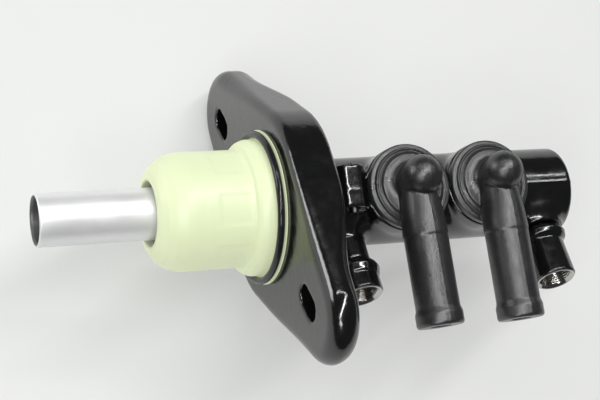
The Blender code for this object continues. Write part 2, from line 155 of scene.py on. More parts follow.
def radius_group():
    """0 nearer to the cylinder's axis than Low, 1 farther than High."""
    group, asked, out = group_of("far_from_axis", {"Low": 0.01, "High": 0.012}, {"Mask": "NodeSocketFloat"})
    place = group.nodes.new("ShaderNodeTexCoord")
    across = group.nodes.new("ShaderNodeVectorMath")
    across.operation = "MULTIPLY"
    across.inputs[1].default_value = (0.0, 1.0, 1.0)
    length = group.nodes.new("ShaderNodeVectorMath")
    length.operation = "LENGTH"
    mask = group.nodes.new("ShaderNodeMapRange")
    group.links.new(place.outputs["Object"], across.inputs[0])
    group.links.new(across.outputs["Vector"], length.inputs[0])
    group.links.new(length.outputs["Value"], mask.inputs["Value"])
    group.links.new(asked.outputs["Low"], mask.inputs["From Min"])
    group.links.new(asked.outputs["High"], mask.inputs["From Max"])
    group.links.new(mask.outputs["Result"], out.inputs["Mask"])
    return group


UNEVEN = unevenness_group()
GRAIN = grain_group()
FAR = radius_group()


def finish_with(made, scale, low, high, coarse, fine, grit, depth):
    """Gives a material its uneven polish and its grain; depth is the grain's height in metres."""
    links = made.node_tree.links
    shader = made.node_tree.nodes["Principled BSDF"]
    polish = node_in(made, "ShaderNodeGroup", node_tree=UNEVEN, Scale=scale, Low=low, High=high)
    links.new(polish.outputs["Value"], shader.inputs["Roughness"])
    grain = node_in(made, "ShaderNodeGroup", node_tree=GRAIN, Coarse=coarse, Fine=fine, Grit=grit)
    bump = node_in(made, "ShaderNodeBump", Strength=1.0, Distance=depth)
    links.new(grain.outputs["Height"], bump.inputs["Height"])
    links.new(bump.outputs["Normal"], shader.inputs["Normal"])
    return made


BENCH_GAP = 0.0004
BENCH_HALF = 3.0
BENCH_Z = cad_box[0].z - BENCH_GAP
bench_mesh = bpy.data.meshes.new("bench_top")
bench_mesh.from_pydata(
    [(a * BENCH_HALF, b * BENCH_HALF, BENCH_Z) for a, b in ((-1, -1), (1, -1), (1, 1), (-1, 1))],
    [], [(0, 1, 2, 3)],
)
bench_top = bpy.data.objects.new("bench_top", bench_mesh)
bpy.context.scene.collection.objects.link(bench_top)
bench_paper = shader_of(
    "bench_paper", (0.40, 0.405, 0.40), 0.75,
    Emission_Color=(0.95, 0.96, 0.94, 1.0), Emission_Strength=0.38,
)
finish_with(bench_paper, 9.0, 0.7, 0.85, 60.0, 900.0, 0.5, 0.00002)
bench_mesh.materials.append(bench_paper)


def panel(name, place, aim, size, power):
    """Rectangular soft light at a point, turned towards another."""
    data = bpy.data.lights.new(name, "AREA")
    data.shape = "RECTANGLE"
    data.size, data.size_y = size
    data.energy = power
    light = bpy.data.objects.new(name, data)
    bpy.context.scene.collection.objects.link(light)
    light.location = place
    light.rotation_euler = (Vector(aim) - Vector(place)).to_track_quat("-Z", "Y").to_euler()
    return light


panel("lamp_over", (-0.15, 0.08, 1.2), (-0.1, 0.0, 0.0), (2.0, 0.07), 14.0)
panel("lamp_far", (0.1, 0.76, 1.1), (0.0, 0.0, 0.0), (2.0, 0.05), 5.0)
panel("lamp_left", (-1.0, 0.5, 0.22), (0.0, 0.0, 0.0), (0.45, 0.35), 3.0)
panel("window_near", (-0.62, -0.58, 0.91), (0.0, -0.03, 0.05), (0.34, 0.26), 2.4)
fill = panel("ceiling_bounce", (0.0, 0.1, 1.6), (0.0, 0.0, 0.0), (2.4, 2.4), 7.0)
fill.visible_glossy = False

world = bpy.data.worlds.new("room")
world.use_nodes = True
world.node_tree.nodes["Background"].inputs["Color"].default_value = (0.93, 0.96, 1.0, 1.0)
world.node_tree.nodes["Background"].inputs["Strength"].default_value = 0.06
bpy.context.scene.world = world
bpy.context.scene.view_settings.view_transform = "Standard"

camera_data = bpy.data.cameras.new("bench_camera")
camera_data.sensor_width = 36.0
camera_data.lens = 84.93
camera = bpy.data.objects.new("bench_camera", camera_data)
bpy.context.scene.collection.objects.link(camera)
camera_axes = Matrix((
    (0.9293, 0.0540, -0.3654),
    (-0.1271, 0.9756, -0.1793),
    (0.3468, 0.2130, 0.9134),
))
camera.matrix_world = Matrix.Translation((-0.1778, -0.0931, 0.4840)) @ camera_axes.to_4x4()
bpy.context.scene.camera = camera


# ---------------------------------------------------------------------------
# Cylinder casting
# One iron casting: barrel, leaning two-lug flange, two inlet bosses, two
# outlet necks and the pin lug, sand cast, machined inside and painted black.
# ---------------------------------------------------------------------------

def meet(a, b, r):
    """Union of two fields with a fillet that reaches r."""
    h = np.maximum(r - np.abs(a - b), 0.0) / r
    return np.minimum(a, b) - h * h * r * 0.25


def keep(a, b, r):
    """What two fields share, its edge eased by r."""
    return -meet(-a, -b, r)


def rounded(a, b, r):
    """What two fields share, its edge a true quarter round of radius r."""
    u, v = a + r, b + r
    return np.minimum(np.maximum(u, v), 0.0) + np.hypot(np.maximum(u, 0.0), np.maximum(v, 0.0)) - r


def surface_of(field, low, high, step):
    """Closed quads where field(x, y, z) is 0, in millimetres: one point in each grid cell that the
    surface crosses, at the mean of its edge crossings, then drawn along the field's slope."""
    axes = [np.arange(a, b + step, step) for a, b in zip(low, high)]
    value = field(axes[0][:, None, None], axes[1][None, :, None], axes[2][None, None, :])
    stride = np.array([value.shape[1] * value.shape[2], value.shape[2], 1])
    rings, spots = [], []
    for d in range(3):
        before = np.take(value, np.arange(value.shape[d] - 1), axis=d)
        after = np.take(value, np.arange(1, value.shape[d]), axis=d)
        edge = np.argwhere((before < 0) != (after < 0))
        v0, v1 = before[tuple(edge.T)], after[tuple(edge.T)]
        spot = edge.astype(float)
        spot[:, d] += v0 / (v0 - v1)
        here, u, w = edge @ stride, stride[(d + 1) % 3], stride[(d + 2) % 3]
        ring = np.stack([here - u - w, here - w, here, here - u], 1)
        rings.append(np.where((v0 < 0)[:, None], ring, ring[:, ::-1]))
        spots.append(np.repeat(spot[:, None, :], 4, axis=1))
    rings, spots = np.concatenate(rings), np.concatenate(spots).reshape(-1, 3)
    cells, index = np.unique(rings.reshape(-1), return_inverse=True)
    count = np.bincount(index, minlength=len(cells))
    mean = np.stack([np.bincount(index, weights=spots[:, k]) / count for k in range(3)], 1)
    points = mean * step + np.array(low)
    nudge, rounds = 0.04, 5
    for _ in range(rounds):
        here = field(points[:, 0], points[:, 1], points[:, 2])
        slope = np.stack([
            field(*(points + nudge * unit).T) - field(*(points - nudge * unit).T) for unit in np.eye(3)
        ], 1) / (2 * nudge)
        move = here / np.maximum((slope ** 2).sum(1), 0.25)
        points -= slope * np.clip(move, -0.4 * step, 0.4 * step)[:, None]
    return points, index.reshape(-1, 4)


def piece(name, points, faces, material, body, *nodes):
    """A smooth mesh object in metres from millimetre points; it rides a body and stands for CAD nodes."""
    mesh = bpy.data.meshes.new(name)
    mesh.from_pydata((points * MM).tolist(), [], faces)
    mesh.polygons.foreach_set("use_smooth", np.ones(len(mesh.polygons), bool))
    mesh.materials.append(material)
    mesh.update()
    made = bpy.data.objects.new(name, mesh)
    bpy.context.scene.collection.objects.link(made)
    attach(made, body)
    if nodes:
        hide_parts(*nodes)
    return made


def level(t, low, high):
    """0 below low, 1 above high, with an even S between."""
    t = np.clip((t - low) / (high - low), 0.0, 1.0)
    return t * t * (3.0 - 2.0 * t)


def stick(x, y, z, a, b, r):
    """Round drilling of radius r from point a to point b, square at its ends."""
    a, b = np.array(a), np.array(b)
    length = np.linalg.norm(b - a)
    dx, dy, dz = (b - a) / length
    t = (x - a[0]) * dx + (y - a[1]) * dy + (z - a[2]) * dz
    off = np.sqrt(np.maximum((x - a[0]) ** 2 + (y - a[1]) ** 2 + (z - a[2]) ** 2 - t * t, 0.0))
    return np.maximum(off - r, np.abs(t - length / 2) - length / 2)


BARREL_R, BARREL_END, BARREL_EASE = 16.8, cad_box[1].x / MM, 2.2
INLETS_X = [j["pos_m"][0] / MM for j in frame["joints"] if j["name"].endswith("swivel")]
PORTS = [m for m in frame["record"]["mounts"] if m["name"].endswith("pipe_port")]
OUT_Y, OUT_Z = PORTS[0]["axis"][1], PORTS[0]["axis"][2]
RIM_POINT = 7.1
OUTLETS = [
    (port["pos_m"][0] / MM - RIM_POINT, neck_r, seat_at)
    for port, neck_r, seat_at in zip(PORTS, (6.7, 10.1), (28.0, 19.2))
]
LUG_LINE = np.radians(50.4)
LUG_SIN, LUG_COS = np.sin(LUG_LINE), np.cos(LUG_LINE)
FLANGE_R, LUG_AT, LUG_R = 37.0, 59.0, 17.8
SLOT_AT, SLOT_R, SLOT_REACH = 53.0, 4.25, 3.25
FLANGE_T, HIGH_END_THINNER, LOW_END_THINNER = 17.0, 5.0, 1.5
THIN_FROM, THIN_TO = 24.0, 58.0
FRONT_EDGE, FRONT_EDGE_GAIN = 3.4, 2.4
BACK_EDGE, BACK_EDGE_GAIN = 2.6, 4.4
FLANGE_FILLET, BOSS_FILLET, NECK_FILLET, LUG_FILLET = 7.0, 2.0, 3.0, 1.6
BOSS_R, BOSS_SPREAD, BOSS_TOP = 15.6, 0.6, 20.4
NECK_SPREAD, NECK_FOOT, NECK_CLEAR = 2.2, 13.0, 19.0
LUG_MID_X, LUG_HALF_X, LUG_MID_Y, LUG_HALF_Y, LUG_TOP = 28.8, 6.4, 1.9, 8.1, 22.3
PART_LINE, PART_LINE_W = 0.16, 0.55
MOUTH_R, MOUTH_FLOOR, BORE_R, BORE_FLOOR = 15.4, 13.5, 11.1, 118.0
GROOVE_R, GROOVE_AT, GROOVE_HALF = 16.8, 5.4, 0.8
WELL_R, WELL_FLOOR, WELL_EASE = 9.0, 13.2, 0.5
SEAT_R, SEAT_DEPTH, PIN_HOLE_R = 3.4, 4.8, 2.15
PIN_AT = (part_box("cross_pin")[0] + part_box("cross_pin")[1]) / 2 / MM


def flange(x, y, z):
    """Stretched hull of three circles, thick round the barrel and thin at the lugs, all edges rounded."""
    place = -y * LUG_SIN + z * LUG_COS
    s = np.abs(place)
    w = np.abs(y * LUG_COS + z * LUG_SIN)
    lean = (FLANGE_R - LUG_R) / LUG_AT
    upright = np.sqrt(1.0 - lean * lean)
    along = upright * s - lean * w
    outline = np.where(
        along < 0, np.hypot(s, w) - FLANGE_R,
        np.where(
            along > upright * LUG_AT, np.hypot(s - LUG_AT, w) - LUG_R, upright * w + lean * s - FLANGE_R
        ),
    )
    share = level(s, THIN_FROM, THIN_TO)
    thick = FLANGE_T - np.where(place > 0, HIGH_END_THINNER, LOW_END_THINNER) * share
    front = FRONT_EDGE + FRONT_EDGE_GAIN * share
    back = BACK_EDGE + BACK_EDGE_GAIN * share
    plate = np.maximum(rounded(outline, -x, front), rounded(outline, x - thick, back))
    slot = np.hypot(np.maximum(np.abs(s - SLOT_AT) - SLOT_REACH, 0.0), w) - SLOT_R
    return keep(plate, -slot, 0.7)


def outlet_neck(x, y, z, at, r, top):
    """Round neck on an outlet's axis whose foot spreads towards the barrel."""
    e = y * OUT_Y + z * OUT_Z
    q = np.hypot(x - at, y * OUT_Z - z * OUT_Y)
    foot = NECK_SPREAD * (1.0 - level(e, NECK_FOOT, NECK_CLEAR))
    return keep(keep(q - r - foot, e - top, 0.6), 6.0 - e, 0.5)


def casting(x, y, z):
    """Barrel, flange, bosses, necks and pin lug run together with fillets, less the bore and drillings."""
    around = np.hypot(y, z)
    barrel = rounded(around - BARREL_R, x - BARREL_END, BARREL_EASE)
    barrel = keep(barrel, 5.0 - x, 0.5)
    solid = meet(barrel, flange(x, y, z), FLANGE_FILLET)
    for at in INLETS_X:
        q = np.hypot(x - at, y)
        r = BOSS_R + BOSS_SPREAD * level(z, 6.0, 16.0)
        solid = meet(solid, keep(rounded(q - r, z - BOSS_TOP, 0.6), 2.0 - z, 0.5), BOSS_FILLET)
    for at, r, top in OUTLETS:
        solid = meet(solid, outlet_neck(x, y, z, at, r, top), NECK_FILLET)
    lug = keep(np.abs(y - LUG_MID_Y) - LUG_HALF_Y, z - LUG_TOP, 1.0)
    lug = keep(keep(lug, np.abs(x - LUG_MID_X) - LUG_HALF_X, 1.0), 8.0 - z, 1.0)
    lug = keep(lug, (22.4 - x) * 0.827 + (z - 17.6) * 0.563, 0.8)
    lug = keep(lug, (x - 35.2) * 0.756 + (z - 18.6) * 0.655, 0.8)
    solid = meet(solid, lug, LUG_FILLET)
    solid = solid - PART_LINE * np.exp(-(y / PART_LINE_W) ** 2) * level(x, 18.0, 22.0)
    bore = np.minimum(
        np.maximum(around - MOUTH_R, x - MOUTH_FLOOR), np.maximum(around - BORE_R, x - BORE_FLOOR)
    )
    bore = np.minimum(bore, np.maximum(around - GROOVE_R, np.abs(x - GROOVE_AT) - GROOVE_HALF))
    solid = keep(solid, -bore, 0.5)
    for at in INLETS_X:
        well = np.maximum(np.hypot(x - at, y) - WELL_R, WELL_FLOOR - z)
        solid = keep(solid, -well, WELL_EASE)
    for at, r, top in OUTLETS:
        e = y * OUT_Y + z * OUT_Z
        q = np.hypot(x - at, y * OUT_Z - z * OUT_Y)
        solid = keep(solid, -np.maximum(q - SEAT_R, top - SEAT_DEPTH - e), 0.3)
    rear, front = OUTLETS[0][0], OUTLETS[1][0]
    drilled = (
        ((rear, 14.6 * OUT_Y, 14.6 * OUT_Z), (rear, 24.0 * OUT_Y, 24.0 * OUT_Z), 1.6),
        ((rear, 15.9 * OUT_Y, 15.9 * OUT_Z), (48.5, 9.6 * OUT_Y, 9.6 * OUT_Z), 1.1),
        ((front, 8.0 * OUT_Y, 8.0 * OUT_Z), (front, 15.2 * OUT_Y, 15.2 * OUT_Z), 1.6),
        ((INLETS_X[0] - 7.0, 2.0, 14.2), (23.4, 2.0, 9.2), 1.0),
        ((INLETS_X[1] - 4.5, 0.0, 9.0), (INLETS_X[1] - 4.5, 0.0, 15.0), 1.0),
        ((INLETS_X[1] + 4.2, 0.0, 9.0), (INLETS_X[1] + 4.2, 0.0, 15.0), 1.0),
        ((PIN_AT.x, -20.0, PIN_AT.z), (PIN_AT.x, 20.0, PIN_AT.z), PIN_HOLE_R),
    )
    for a, b, r in drilled:
        solid = np.maximum(solid, -stick(x, y, z, a, b, r))
    return solid


black_paint = shader_of("casting_black_paint", (0.004, 0.004, 0.0042), 0.16, IOR=1.75)
finish_with(black_paint, 160.0, 0.1, 0.22, 380.0, 1500.0, 0.25, 0.00006)
body_low, body_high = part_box("cylinder_body")
CAST_STEP = 0.74
margin = Vector((1, 1, 1))
points, faces = surface_of(casting, body_low / MM - margin, body_high / MM + margin, CAST_STEP)
casting_piece = piece("cylinder_casting", points, faces.tolist(), black_paint, "housing", "cylinder_body")


# ---------------------------------------------------------------------------
# Guide sleeve
# Natural nylon moulding that steadies the piston stem: round nose with a
# dished mouth, seven shallow windows, a shoulder and a thin rim. The nylon has
# a painted glow, and its bore and dished mouth are painted dark as shade.
# ---------------------------------------------------------------------------

def eased(corners, ease, steps=5):
    """Closed outline whose corners are turned by short parabolas: each starts and ends `ease`
    millimetres from the corner, or less where its sides are short."""
    corners = np.asarray(corners, float)
    before, after = np.roll(corners, 1, axis=0) - corners, np.roll(corners, -1, axis=0) - corners
    reach_b = np.minimum(0.46, ease / np.maximum(np.linalg.norm(before, axis=1), 1e-9))[:, None]
    reach_a = np.minimum(0.46, ease / np.maximum(np.linalg.norm(after, axis=1), 1e-9))[:, None]
    t = np.linspace(0.0, 1.0, steps)[None, :, None]
    start, end = (corners + before * reach_b)[:, None, :], (corners + after * reach_a)[:, None, :]
    curve = (1 - t) ** 2 * start + 2 * t * (1 - t) * corners[:, None, :] + t ** 2 * end
    return curve.reshape(-1, 2)


def split_long(outline, longest):
    """The same closed outline with points added along sides longer than `longest`."""
    after = np.roll(outline, -1, axis=0)
    counts = np.maximum(np.ceil(np.linalg.norm(after - outline, axis=1) / longest), 1).astype(int)
    start = np.repeat(outline, counts, axis=0)
    move = np.repeat((after - outline) / counts[:, None], counts, axis=0)
    place = np.arange(counts.sum()) - np.repeat(np.cumsum(counts) - counts, counts)
    return start + move * place[:, None]


def outward(made, merge=None):
    """Turns every face of a piece outwards, first joining points nearer than `merge` metres."""
    tidy = bmesh.new()
    tidy.from_mesh(made.data)
    if merge is not None:
        bmesh.ops.remove_doubles(tidy, verts=tidy.verts, dist=merge)
    bmesh.ops.recalc_face_normals(tidy, faces=tidy.faces)
    tidy.to_mesh(made.data)
    tidy.free()


def turned(name, outline, material, body, nodes=(), around=96, place=None, relief=None):
    """A closed outline of (along, radius) turned about an axis: point (a, r) goes to
    a along the axis and r cos t, r sin t across it; relief(a, r, t) adds to the radius."""
    a, r = outline[:, 0][:, None], outline[:, 1][:, None]
    t = np.linspace(0.0, 2 * np.pi, around, endpoint=False)[None, :]
    if relief is not None:
        r = r + relief(a, r, t)
    grid = np.stack(np.broadcast_arrays(a, r * np.cos(t), r * np.sin(t)), 2).reshape(-1, 3)
    if place is not None:
        grid = grid @ np.array(place.to_3x3()).T + np.array(place.translation)
    i = np.arange(len(outline))[:, None] * around
    j = np.arange(around)[None, :]
    i2, j2 = np.roll(i, -1, axis=0), np.roll(j, -1, axis=1)
    quads = np.stack([i + j, i + j2, i2 + j2, i2 + j], 2).reshape(-1, 4)
    made = piece(name, grid, quads.tolist(), material, body, *nodes)
    outward(made, 2e-7)
    return made


WINDOW_COUNT, WINDOW_DEPTH, WINDOW_PHASE = 7, 0.26, 0.53
WINDOW_FROM, WINDOW_TO = (-23.2, -22.0), (-11.4, -10.4)
WINDOW_HALF_DEGREES = (12.8, 16.4)
NOSE_RIB, NOSE_RIB_AT, NOSE_RIB_W = 0.06, -26.2, 0.7


def nylon_windows(a, r, t):
    """Seven shallow windows: sunk where both the place along the sleeve and the angle fall inside."""
    outside = level(r, 20.0, 21.0)
    window = level(a, *WINDOW_FROM) * (1 - level(a, *WINDOW_TO))
    share = 360 / WINDOW_COUNT
    turn = np.abs((np.degrees(t) / share + WINDOW_PHASE) % 1.0 - 0.5) * share
    rib = NOSE_RIB * np.exp(-((a - NOSE_RIB_AT) / NOSE_RIB_W) ** 2)
    return outside * (rib - WINDOW_DEPTH * window * (1 - level(turn, *WINDOW_HALF_DEGREES)))


# The nylon is given a painted glow: an even emission that stands in for light passing through it and lifts its
# shaded lower side.
nylon = shader_of(
    "natural_nylon", (0.48, 0.53, 0.34), 0.4, Subsurface_Weight=0.25, Subsurface_Scale=0.004,
    Subsurface_Radius=(1.0, 1.0, 0.6), IOR=1.53,
    Emission_Color=(0.82, 0.90, 0.60, 1.0), Emission_Strength=0.36,
)
finish_with(nylon, 90.0, 0.34, 0.5, 300.0, 1400.0, 0.3, 0.00003)
nylon_links = nylon.node_tree.links
nylon_shader = nylon.node_tree.nodes["Principled BSDF"]
# Nearer the axis than about 11 mm, in the bore and the dished mouth, the nylon is painted dark grey and its glow
# is switched off: painted shade.
painted_bore_shade_mask = node_in(nylon, "ShaderNodeGroup", node_tree=FAR, Low=0.0108, High=0.0128)
for socket, painted_shade_color in (("Base Color", (0.10, 0.10, 0.08, 1.0)), ("Emission Color", (0.0, 0.0, 0.0, 1.0))):
    tint = node_in(nylon, "ShaderNodeMix", data_type="RGBA")
    tint.inputs[6].default_value = painted_shade_color
    tint.inputs[7].default_value = nylon_shader.inputs[socket].default_value
    nylon_links.new(painted_bore_shade_mask.outputs["Mask"], tint.inputs[0])
    nylon_links.new(tint.outputs[2], nylon_shader.inputs[socket])
guide_outline = split_long(eased((
    (-40.6, 9.85), (-40.8, 11.3), (-43.2, 11.8), (-43.2, 13.2),
    (-42.6, 15.6), (-40.6, 18.2), (-37.6, 20.3), (-34.4, 21.4),
    (-31.5, 21.7), (-9.3, 21.7), (-8.9, 23.2), (-7.8, 24.4), (-5.8, 25.2), (-0.65, 25.2),
    (-0.65, 28.6), (-0.3, 28.6), (-0.2, 28.2), (-0.2, 15.0),
    (4.3, 15.0), (4.6, 13.9), (6.2, 13.9), (6.2, 9.85),
), 0.5), 0.7)
guide_piece = turned(
    "piston_guide", guide_outline, nylon, "housing", ["guide_sleeve"], 224, relief=nylon_windows
)


# ---------------------------------------------------------------------------
# Guide O-ring
# Moulded nitrile ring, wet with oil, lying against the flange round the
# shoulder of the guide.
# ---------------------------------------------------------------------------

def ring_outline(along, radius, wire, sides=20):
    """Closed circle of radius `wire` about the point (along, radius)."""
    t = np.linspace(0.0, 2 * np.pi, sides, endpoint=False)
    return np.stack([along + wire * np.cos(t), radius + wire * np.sin(t)], 1)


wet_rubber = shader_of("oiled_nitrile", (0.012, 0.012, 0.013), 0.2)
finish_with(wet_rubber, 300.0, 0.12, 0.3, 500.0, 2500.0, 0.3, 0.00002)
o_ring = turned(
    "guide_seal_ring", ring_outline(-2.2, 27.1, 1.35), wet_rubber, "housing", ["guide_o_ring"], 192
)


# ---------------------------------------------------------------------------
# Primary piston
# Aluminium, finely turned and satin: hollow stem with a chamfered mouth for
# the booster rod, a seal groove behind the head and a spigot for the spring.
# ---------------------------------------------------------------------------

bright_alloy = shader_of("polished_alloy", (0.95, 0.95, 0.95), 0.45, 0.55)
finish_with(bright_alloy, 120.0, 0.38, 0.5, 500.0, 2000.0, 0.2, 0.00001)
alloy_links = bright_alloy.node_tree.links
alloy_shader = bright_alloy.node_tree.nodes["Principled BSDF"]
# Inside the hollow stem, nearer the axis than about 8.7 mm, the alloy is painted dark grey as shade.
outside = node_in(bright_alloy, "ShaderNodeGroup", node_tree=FAR, Low=0.0087, High=0.0091)
alloy_bore_shade_mix = node_in(bright_alloy, "ShaderNodeMix", data_type="RGBA")
alloy_bore_shade_mix.inputs[6].default_value = (0.16, 0.16, 0.165, 1.0)
alloy_bore_shade_mix.inputs[7].default_value = (0.88, 0.88, 0.88, 1.0)
alloy_links.new(outside.outputs["Mask"], alloy_bore_shade_mix.inputs[0])
alloy_links.new(alloy_bore_shade_mix.outputs[2], alloy_shader.inputs["Base Color"])
piston_outline = eased((
    (-84.0, 8.75), (-84.0, 9.1), (-83.5, 9.525), (13.8, 9.525), (13.8, 10.85), (15.2, 10.85),
    (15.2, 8.9), (18.6, 8.9), (18.6, 10.85), (22.0, 10.85), (22.0, 6.0), (28.0, 6.0), (28.0, 0.02),
    (-22.0, 0.02), (-22.0, 2.6), (-25.4, 5.4), (-28.0, 8.3), (-83.0, 8.3),
), 0.18, 3)
piston_piece = turned(
    "primary_piston_turned", split_long(piston_outline, 6.0), bright_alloy, "primary",
    ["primary_piston"], 128,
)


# ---------------------------------------------------------------------------
# Pipe outlets
# Black plated steel fittings screwed into the necks over copper washers:
# rolled collar, plain barrel, cut thread inside and a bright chamfered mouth.
# ---------------------------------------------------------------------------

plated_black = shader_of("black_plated_steel", (0.004, 0.004, 0.0042), 0.12, IOR=1.8)
finish_with(plated_black, 260.0, 0.08, 0.2, 300.0, 1600.0, 0.2, 0.00003)
plate_links = plated_black.node_tree.links
plate_shader = plated_black.node_tree.nodes["Principled BSDF"]
bare = node_in(plated_black, "ShaderNodeAttribute", attribute_name="bare_metal")
plate_color = node_in(plated_black, "ShaderNodeMix", data_type="RGBA")
plate_color.inputs[6].default_value = (0.004, 0.004, 0.0042, 1.0)
plate_color.inputs[7].default_value = (0.50, 0.49, 0.47, 1.0)
plate_links.new(bare.outputs["Fac"], plate_color.inputs[0])
plate_links.new(plate_color.outputs[2], plate_shader.inputs["Base Color"])
plate_links.new(bare.outputs["Fac"], plate_shader.inputs["Metallic"])
soft_copper = shader_of("soft_copper", (0.72, 0.38, 0.24), 0.35, 1.0)
finish_with(soft_copper, 300.0, 0.28, 0.45, 500.0, 1800.0, 0.4, 0.00001)

OUTLET_END, OUTLET_R, HOLE_R, DRILLED_R = 40.7, 8.05, 5.6, 1.6
THREAD_END, THREAD_DEPTH = (39.4, 39.9), 0.55


def cut_thread(floor):
    """A one-millimetre V thread: the radius rises and falls once a millimetre and once a turn."""
    def relief(a, r, t):
        inside = level(-np.abs(r - HOLE_R), -0.35, -0.2) * level(a, floor + 0.8, floor + 1.6)
        inside = inside * (1 - level(a, *THREAD_END))
        wave = np.abs(((a - t / (2 * np.pi)) % 1.0) - 0.5) * 2
        return inside * (THREAD_DEPTH * wave - 0.1)
    return relief


for (at, _, seat), tag, collar, floor in zip(OUTLETS, ("rear", "front"), (9.2, 10.1), (30.3, 26.0)):
    turn = Vector((0.0, OUT_Y, OUT_Z)).to_track_quat("X", "Z").to_matrix().to_4x4()
    place = Matrix.Translation((at, 0.0, 0.0)) @ turn
    low = seat + 0.9
    shape = eased((
        (seat - 4.3, DRILLED_R), (seat - 4.3, 3.1), (low, 3.1), (low, 6.7), (seat + 0.3, 6.7),
        (seat + 0.3, 7.6), (low + 0.7, collar - 0.6), (low + 2.2, collar), (low + 3.9, collar - 0.5),
        (low + 4.8, 8.5), (low + 5.4, OUTLET_R), (OUTLET_END - 0.7, OUTLET_R), (OUTLET_END, 7.4),
        (OUTLET_END, 6.9), (OUTLET_END - 1.1, HOLE_R), (floor, HOLE_R), (floor, DRILLED_R),
    ), 0.3, 4)
    fitting = turned(
        "outlet_fitting_turned_" + tag, split_long(shape, 0.25), plated_black, "housing",
        ["outlet_fitting_" + tag], 96, place, cut_thread(floor),
    )
    co = np.empty(len(fitting.data.vertices) * 3)
    fitting.data.vertices.foreach_get("co", co)
    co = co.reshape(-1, 3) / MM
    e = co[:, 1] * OUT_Y + co[:, 2] * OUT_Z
    q = np.hypot(co[:, 0] - at, co[:, 1] * OUT_Z - co[:, 2] * OUT_Y)
    mask = level(-q, -7.7, -7.4) * level(e, floor + 0.5, floor + 1.5)
    attribute = fitting.data.attributes.new("bare_metal", "FLOAT", "POINT")
    attribute.data.foreach_set("value", mask.astype(np.float32))
    washer = turned(
        "outlet_washer_pressed_" + tag,
        eased(((seat + 0.2, 3.5), (seat + 0.2, 6.4), (seat + 0.65, 6.4), (seat + 0.65, 3.5)), 0.1, 3),
        soft_copper, "housing", ["outlet_washer_" + tag], 64, place,
    )


# ---------------------------------------------------------------------------
# Inlet elbows
# Moulded rubber: stepped cap over the port, round knuckle, and a hose tube
# with a flared lip. The mould leaves a fine line along the tube.
# ---------------------------------------------------------------------------

black_rubber = shader_of("moulded_black_rubber", (0.015, 0.015, 0.016), 0.35, IOR=1.78)
finish_with(black_rubber, 180.0, 0.26, 0.42, 500.0, 2600.0, 0.9, 0.00009)

CAP_R, CAP_MID, CAP_HALF = 16.1, 22.55, 1.65
STEP_R, STEP_MID, STEP_HALF = 14.2, 23.2, 2.2
GROOVE_WIRE, GROOVE_RING_R, GROOVE_Z = 0.5, 13.1, 25.5
COLLAR_R, COLLAR_MID, COLLAR_HALF = 12.0, 24.1, 2.4
STEM_R, STEM_FOOT, KNUCKLE_Z, KNUCKLE_LEAN = 7.3, 21.5, 34.9, 1.8
DISH_X, DISH_Z, DISH_SIZE = -11.6, 30.2, (3.4, 4.6, 3.6)
TUBE_Z, TUBE_R, TUBE_GAIN, TUBE_END, LIP_GAIN = 29.4, 6.9, 1.2, 52.9, 0.6
HOSE_BORE_R, SPIGOT_R, SPIGOT_MID, SPIGOT_HALF = 3.8, 6.3, 18.2, 3.6
SEAM_DEPTH, SEAM_W = 0.12, 0.32


def elbow_field(x, y, z):
    """Cap, steps and domed stem turned about z, and the tube along -y from the stem."""
    q = np.hypot(x, y)
    cap = rounded(q - CAP_R, np.abs(z - CAP_MID) - CAP_HALF, 0.8)
    cap = meet(cap, rounded(q - STEP_R, np.abs(z - STEP_MID) - STEP_HALF, 0.35), 0.3)
    cap = np.maximum(cap, GROOVE_WIRE - np.hypot(q - GROOVE_RING_R, z - GROOVE_Z))
    cap = meet(cap, rounded(q - COLLAR_R, np.abs(z - COLLAR_MID) - COLLAR_HALF, 0.5), 0.3)
    lean = np.clip((z - 27.0) / 8.0, 0.0, 1.0) * KNUCKLE_LEAN
    upright = np.hypot(x, y - lean)
    knuckle = np.sqrt(upright ** 2 + (z - KNUCKLE_Z) ** 2) - STEM_R
    stem = np.where(z > KNUCKLE_Z, knuckle, upright - STEM_R)
    stem = np.maximum(stem, STEM_FOOT - z)
    body = meet(cap, stem, 3.4)
    wide, broad, tall = DISH_SIZE
    dish = np.sqrt(((x - DISH_X) / wide) ** 2 + (y / broad) ** 2 + ((z - DISH_Z) / tall) ** 2) - 1.0
    body = keep(body, -dish * wide, 0.6)
    t = -y
    r = TUBE_R + TUBE_GAIN * level(t, 2.0, 15.0)
    r = r + 0.2 * level(t, 14.0, 19.6) * (1 - level(t, 19.8, 20.3))
    r = r + LIP_GAIN * level(t, 46.0, 48.6) - 0.35 * level(t, 51.8, TUBE_END)
    across = np.hypot(x, z - TUBE_Z)
    tube = keep(keep(across - r, t - TUBE_END, 0.6), -t, 1.0)
    body = meet(body, tube, 0.5)
    seam = SEAM_DEPTH * np.exp(-(x / SEAM_W) ** 2) * level(z, 27.0, 30.0)
    spigot_r = SPIGOT_R - 0.9 * (1 - level(z, 14.6, 16.4))
    spigot = keep(q - spigot_r, np.abs(z - SPIGOT_MID) - SPIGOT_HALF, 0.4)
    body = meet(body - seam, spigot, 0.5)
    hollow = np.minimum(
        np.maximum(q - HOSE_BORE_R, z - TUBE_Z), np.maximum(across - HOSE_BORE_R, -2.6 - t)
    )
    return keep(body, -hollow, 0.5)


